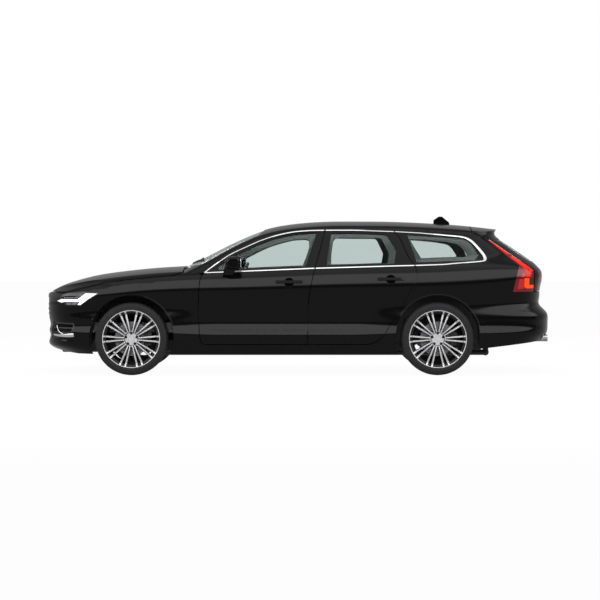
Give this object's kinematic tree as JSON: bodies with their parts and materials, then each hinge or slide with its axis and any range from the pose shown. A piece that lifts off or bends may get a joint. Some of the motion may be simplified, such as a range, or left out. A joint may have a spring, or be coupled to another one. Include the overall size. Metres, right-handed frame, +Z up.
{
  "type": "station wagon",
  "caption": "Glossy black five-door station wagon with long roof, chrome-edged side windows, twin-spoke light-alloy wheels, slatted grille and wrapped lamps.",
  "frame": {"origin": "on the floor, midway along and across the car", "axes": "+X from nose to tail along the car's length, +Y to the car's right side, +Z up"},
  "size_m": [4.9393, 2.162, 1.5392],
  "materials": {
    "paint": "gloss",
    "glass": "clear",
    "lamp_clear": "clear",
    "lamp_red": "gloss",
    "tyre": "matte",
    "rim": "machined",
    "steel": "satin",
    "cast": "matte",
    "black_plastic": "matte",
    "grille_black": "gloss",
    "leather": "satin",
    "carpet": "matte"
  },
  "bodies": {
    "car_body": {"body_side_left": "paint", "body_side_right": "paint", "roof_panel": "paint", "floor_pan": "carpet", "bulkhead": "black_plastic", "front_wings": "paint", "front_bumper": "paint", "rear_bumper": "paint", "grille": "grille_black", "headlamps": "lamp_clear", "tail_lamps": "lamp_red", "windscreen": "glass", "quarter_windows": "glass", "dashboard": "black_plastic", "steering_wheel": "leather", "front_seats": "leather", "rear_seat": "leather", "engine": "cast", "exhaust": "steel", "front_subframe": "steel", "rear_axle": "cast", "aerial": "paint", "wipers": "black_plastic", "wheel_arch_liners": "black_plastic"},
    "door_front_left": {"door_front_left_panel": "paint", "door_front_left_glass": "glass", "mirror_left": "paint"},
    "wheel_front_left": {"tyre_front_left": "tyre", "rim_front_left": "rim"},
    "door_front_right": {"door_front_right_panel": "paint", "door_front_right_glass": "glass", "mirror_right": "paint"},
    "wheel_front_right": {"tyre_front_right": "tyre", "rim_front_right": "rim"},
    "door_rear_left": {"door_rear_left_panel": "paint", "door_rear_left_glass": "glass"},
    "wheel_rear_left": {"tyre_rear_left": "tyre", "rim_rear_left": "rim"},
    "door_rear_right": {"door_rear_right_panel": "paint", "door_rear_right_glass": "glass"},
    "wheel_rear_right": {"tyre_rear_right": "tyre", "rim_rear_right": "rim"},
    "bonnet": {"bonnet": "paint"},
    "tailgate": {"tailgate_panel": "paint", "tailgate_glass": "glass", "tailgate_lamps": "lamp_red"},
    "knuckle_left": {"knuckle_left": "cast"},
    "knuckle_right": {"knuckle_right": "cast"}
  },
  "joints": [
    {"name": "door_front_left_hinge", "type": "hinge", "parent": "car_body", "child": "door_front_left", "pos_m": [-0.904, -0.927, 0.4], "axis": [0, 0, -1], "range_deg": [0, 65]},
    {"name": "door_rear_left_hinge", "type": "hinge", "parent": "car_body", "child": "door_rear_left", "pos_m": [0.152, -0.927, 0.4], "axis": [0, 0, -1], "range_deg": [0, 65]},
    {"name": "door_front_right_hinge", "type": "hinge", "parent": "car_body", "child": "door_front_right", "pos_m": [-0.904, 0.927, 0.4], "axis": [0, 0, 1], "range_deg": [0, 65]},
    {"name": "door_rear_right_hinge", "type": "hinge", "parent": "car_body", "child": "door_rear_right", "pos_m": [0.152, 0.927, 0.4], "axis": [0, 0, 1], "range_deg": [0, 65]},
    {"name": "bonnet_hinge", "type": "hinge", "parent": "car_body", "child": "bonnet", "pos_m": [-1.118, 0.15, 1.034], "axis": [0, 1, 0], "range_deg": [0, 55]},
    {"name": "tailgate_hinge", "type": "hinge", "parent": "car_body", "child": "tailgate", "pos_m": [1.71, 0.1, 1.43], "axis": [0, -1, 0], "range_deg": [0, 80]},
    {"name": "steer_left", "type": "hinge", "parent": "car_body", "child": "knuckle_left", "pos_m": [-1.596, -0.77, 0.35], "axis": [0, 0, 1], "range_deg": [-35, 35]},
    {"name": "steer_right", "type": "hinge", "parent": "car_body", "child": "knuckle_right", "pos_m": [-1.596, 0.77, 0.35], "axis": [0, 0, 1], "range_deg": [-35, 35]},
    {"name": "wheel_front_left_spin", "type": "hinge", "parent": "knuckle_left", "child": "wheel_front_left", "pos_m": [-1.596, -0.814, 0.35], "axis": [0, 1, 0], "continuous": true},
    {"name": "wheel_rear_left_spin", "type": "hinge", "parent": "car_body", "child": "wheel_rear_left", "pos_m": [1.345, -0.814, 0.35], "axis": [0, 1, 0], "continuous": true},
    {"name": "wheel_front_right_spin", "type": "hinge", "parent": "knuckle_right", "child": "wheel_front_right", "pos_m": [-1.596, 0.814, 0.35], "axis": [0, 1, 0], "continuous": true},
    {"name": "wheel_rear_right_spin", "type": "hinge", "parent": "car_body", "child": "wheel_rear_right", "pos_m": [1.345, 0.814, 0.35], "axis": [0, 1, 0], "continuous": true}
  ],
  "couplings": [
    {"joint": "steer_right", "follows": "steer_left", "ratio": 1}
  ]
}
